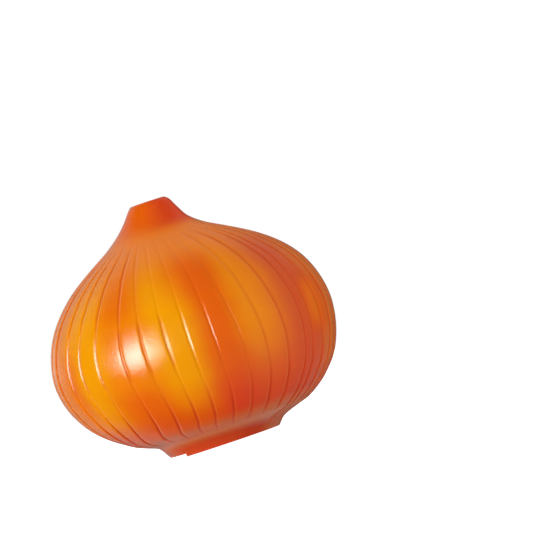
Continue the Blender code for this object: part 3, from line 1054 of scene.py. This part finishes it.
def groove_extent(tree, azimuth, height):
    """1 along a groove's run, easing to 0 where it ends."""
    (root_start, root_full), (neck_full, neck_start) = GROOVE_FADE
    skirt_start = eased(tree, azimuth, *SKIRT_GROOVES, root_start, SKIRT_FADE[0])
    skirt_full = eased(tree, azimuth, *SKIRT_GROOVES, root_full, SKIRT_FADE[1])
    from_root = eased(tree, height, skirt_start, skirt_full)
    to_neck = eased(tree, height, neck_full, neck_start, 1.0, 0.0)
    return maths(tree, "MULTIPLY", from_root, to_neck)


def groove_paint_and_shade(tree, colour, azimuth, height):
    """Red paint and painted shade in the grooves, most at the sides and low down, more painted shade where
    the highlight falls, and a paler lip beside it, which is a painted sheen.
    """
    reach = socket(tree, "ShaderNodeAttribute", output=2, attribute_name="groove_reach")
    side = socket(tree, "ShaderNodeAttribute", output=2, attribute_name="groove_side")
    inside = eased(tree, reach, *GROOVE_PAINT_AND_SHADE_EDGE)
    inside = maths(tree, "MULTIPLY", inside, groove_extent(tree, azimuth, height))
    off_middle = maths(tree, "ABSOLUTE", azimuth)
    at_rim = eased(tree, off_middle, *GROOVE_PAINT_AND_SHADE_AT_RIMS)
    on_right = eased(tree, azimuth, *GROOVE_PAINT_AND_SHADE_ON_RIGHT)
    low_down = eased(tree, height, *GROOVE_PAINT_AND_SHADE_LOW)
    high_up = eased(tree, height, *GROOVE_PAINT_AND_SHADE_HIGH)
    high_up = maths(tree, "MULTIPLY", high_up, eased(tree, azimuth, *GROOVE_PAINT_AND_SHADE_HIGH_SIDE))
    # Painted shade in the grooves within the highlight, whose walls miss it
    from_below, from_above = GROOVE_SHADE_IN_HIGHLIGHT
    shade_in_highlight = maths(tree, "MULTIPLY", eased(tree, height, *from_below), eased(tree, height, *from_above))
    shade_in_highlight = maths(tree, "MULTIPLY", shade_in_highlight, eased(tree, azimuth, *GROOVE_SHADE_IN_HIGHLIGHT_SIDE))
    # The grooves' red is partly paint and partly painted shade in the recess
    amount = at_rim
    for more in (on_right, low_down, high_up, shade_in_highlight):
        amount = maths(tree, "ADD", amount, more)
    amount = maths(tree, "MINIMUM", amount, MOST_GROOVE_PAINT_AND_SHADE)
    outward = maths(tree, "MULTIPLY", side, eased(tree, azimuth, *OUTWARD))
    off_valley = maths(tree, "ABSOLUTE", maths(tree, "SUBTRACT", outward, VALLEY_PLACE))
    valley = maths(tree, "MULTIPLY", eased(tree, off_valley, *VALLEY_SPAN), inside)
    colour = blend_colours(tree, maths(tree, "MULTIPLY", valley, amount), colour, GROOVE_SHADE)
    # The paler lip is a painted sheen on the groove's inner wall
    off_lip = maths(tree, "ABSOLUTE", maths(tree, "ADD", outward, LIP_PLACE))
    lip = maths(tree, "MULTIPLY", eased(tree, off_lip, *LIP_SPAN), inside)
    lip_share = eased(tree, off_middle, *LIP_SHARE)
    lip_share = maths(tree, "MULTIPLY_ADD", high_up, HIGH_LIP_SHARE, lip_share)
    lip_share = maths(tree, "MULTIPLY_ADD", low_down, LOW_LIP_SHARE, lip_share)
    return blend_colours(tree, maths(tree, "MULTIPLY", lip, lip_share), colour, GROOVE_LIP_SHEEN)


def sprayed_skin(name, strokes, stroke_group):
    """Golden plastic under soft airbrushed strokes, some of them painted sheen and reflections, darker in
    the grooves with paint and painted shade, with an orange-peel gloss.
    """
    material, tree, shader = new_material(name)
    shell_map = socket(tree, "ShaderNodeUVMap", uv_map="shell_map")
    parts = tree.nodes.new("ShaderNodeSeparateXYZ")
    tree.links.new(shell_map, parts.inputs[0])
    place = place_on_piece(tree)
    azimuth = maths(tree, "MULTIPLY_ADD", parts.outputs[0], 180.0, -90.0)
    height = maths(tree, "MULTIPLY", parts.outputs[1], TOTAL_HEIGHT)
    wander = noise(tree, place, WANDER_SCALE, 2.0)
    wander = maths(tree, "MULTIPLY_ADD", wander, WANDER_DEGREES, -WANDER_DEGREES / 2)
    azimuth = maths(tree, "ADD", azimuth, wander)
    colour = GOLDEN
    for paint, *settings in strokes + END_STROKES:
        stroke = tree.nodes.new("ShaderNodeGroup")
        stroke.node_tree = stroke_group
        tree.links.new(azimuth, stroke.inputs["Azimuth"])
        tree.links.new(height, stroke.inputs["Height"])
        for setting, value in zip(STROKE_SETTINGS, settings):
            stroke.inputs[setting].default_value = value
        colour = blend_colours(tree, stroke.outputs["Cover"], colour, paint)
    colour = groove_paint_and_shade(tree, colour, azimuth, height)
    tree.links.new(colour, shader.inputs["Base Color"])
    shader.inputs["Roughness"].default_value = COAT_ROUGHNESS
    roughen(tree, shader, noise(tree, place, PEEL_SCALE, 2.0), PEEL_HEIGHT)
    return material


# Plastics and tapes


def clouded(tree, place, scale, first, second):
    """Two shades of a plastic, mixed in soft clouds."""
    return blend_colours(tree, eased(tree, noise(tree, place, scale, 3.0), *CLOUD_SPAN), first, second)


def add_grain(tree, shader, place, scale, roughness, height):
    """Gives a plastic a fine grain, which varies its roughness between two values."""
    grain = noise(tree, place, scale, 2.0)
    tree.links.new(eased(tree, grain, *GRAIN_SPAN, *roughness), shader.inputs["Roughness"])
    roughen(tree, shader, grain, height)


def bare_plastic():
    """The shells' unpainted orange plastic, on their rims and inside."""
    material, tree, shader = new_material("bare_orange_plastic")
    place = place_on_piece(tree)
    colour = clouded(tree, place, RIM_CLOUDS, RIM_ORANGE, RIM_ORANGE_DEEP)
    tree.links.new(colour, shader.inputs["Base Color"])
    add_grain(tree, shader, place, *RIM_GRAIN)
    return material


def cream_plastic():
    """Satin cream plastic, with painted shade making it browner in the engraved layer lines, which their
    depth tells from the face.
    """
    material, tree, shader = new_material("cream_plastic")
    place = place_on_piece(tree)
    parts = tree.nodes.new("ShaderNodeSeparateXYZ")
    tree.links.new(place, parts.inputs[0])
    depth = maths(tree, "SUBTRACT", maths(tree, "ABSOLUTE", parts.outputs[1]), PARTING_GAP / 2)
    # Painted shade: the engraved lines darken towards brown by their depth
    engraved = eased(tree, depth, *LINE_DEPTHS)
    engraved = maths(tree, "MULTIPLY", engraved, eased(tree, depth, *LINE_DEPTHS_END, 1.0, 0.0))
    colour = clouded(tree, place, CREAM_CLOUDS, CREAM, CREAM_WARM)
    colour = blend_colours(tree, maths(tree, "MULTIPLY", engraved, LINE_SHADE_TINT), colour, LINE_SHADE_BROWN)
    tree.links.new(colour, shader.inputs["Base Color"])
    add_grain(tree, shader, place, *CREAM_GRAIN)
    return material


def tape_yarns(tree, place):
    """Crossing yarns, 1 on top of a crossing and 0 in the gaps."""
    turned = socket(tree, "ShaderNodeMapping", {"Vector": place, "Rotation": (0.0, WEAVE_TURN, 0.0)})
    waves = {
        "Vector": turned,
        "Scale": YARN_SCALE,
        "Distortion": YARN_WAVINESS,
        "Detail": 1.0,
        "Detail Scale": 3.0,
    }
    yarns = [socket(tree, "ShaderNodeTexWave", waves, output=1, bands_direction=axis) for axis in ("X", "Z")]
    return maths(tree, "MULTIPLY", *yarns)


def woven_tape():
    """Golden woven nylon: painted shade in the orange gaps between bright yarns, with pale worn flecks."""
    material, tree, shader = new_material("woven_tape")
    place = place_on_piece(tree)
    weave = tape_yarns(tree, place)
    # Painted shade: the gaps between the yarns turn orange, the crossings stay bright
    colour = blend_colours(tree, eased(tree, weave, *YARN_SPAN), TAPE_ORANGE, TAPE_YELLOW)
    wear = eased(tree, noise(tree, place, WEAR_SCALE, 3.0), *WEAR_SPAN)
    tree.links.new(blend_colours(tree, wear, colour, TAPE_FLECK), shader.inputs["Base Color"])
    shader.inputs["Roughness"].default_value = TAPE_ROUGHNESS
    shader.inputs["Sheen Weight"].default_value = TAPE_SHEEN
    roughen(tree, shader, weave, YARN_HEIGHT)
    return material


def nylon_thread(name, roughness, sheen):
    """Golden nylon thread, paler and deeper by turns along the tape."""
    material, tree, shader = new_material(name)
    shade = noise(tree, place_on_piece(tree), SHADE_SCALE, 3.0)
    colour = blend_colours(tree, eased(tree, shade, *DEEP_SPAN), TAPE_ORANGE, TAPE_YELLOW)
    colour = blend_colours(tree, eased(tree, shade, *FLECK_SPAN), colour, TAPE_FLECK)
    tree.links.new(colour, shader.inputs["Base Color"])
    shader.inputs["Roughness"].default_value = roughness
    shader.inputs["Sheen Weight"].default_value = sheen
    return material


def dress_cut_faces():
    """Gives the two plates, which keep their own shape, the cream plastic."""
    cream = cream_plastic()
    for node in ("front_cut_face", "back_cut_face"):
        for material_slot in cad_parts[node].material_slots:
            material_slot.material = cream


def dress_patches():
    """Soft loops on the front half's patch, stiff hooks on the back half's."""
    woven = woven_tape()
    loops = pile_of(loop_thread, LOOP_PITCH, LOOP_SEED, LOOP_TURN, LOOP_LEAN, nylon_thread(*LOOP_NYLON))
    patch("loop_patch", "front_loop_pad", FRONT, backing_tape(woven), loops)
    hooks = pile_of(hook_thread, HOOK_PITCH, HOOK_SEED, HOOK_TURN, HOOK_LEAN, nylon_thread(*HOOK_NYLON))
    patch("hook_patch", "back_hook_pad", BACK, backing_tape(woven), hooks)


# The whole onion


def main():
    place_camera()
    white_room()
    white_floor()
    light_studio()
    bpy.context.scene.view_settings.view_transform = "Standard"
    stroke_group = airbrush()
    front_paint = sprayed_skin("front_paint", FRONT_STROKES, stroke_group)
    back_paint = sprayed_skin("back_paint", BACK_STROKES, stroke_group)
    plastic = bare_plastic()
    shell("front_shell", "front_skin", FRONT, FRONT_GROOVES, front_paint, plastic)
    shell("back_shell", "back_skin", BACK, back_grooves(), back_paint, plastic)
    dress_cut_faces()
    dress_patches()


main()
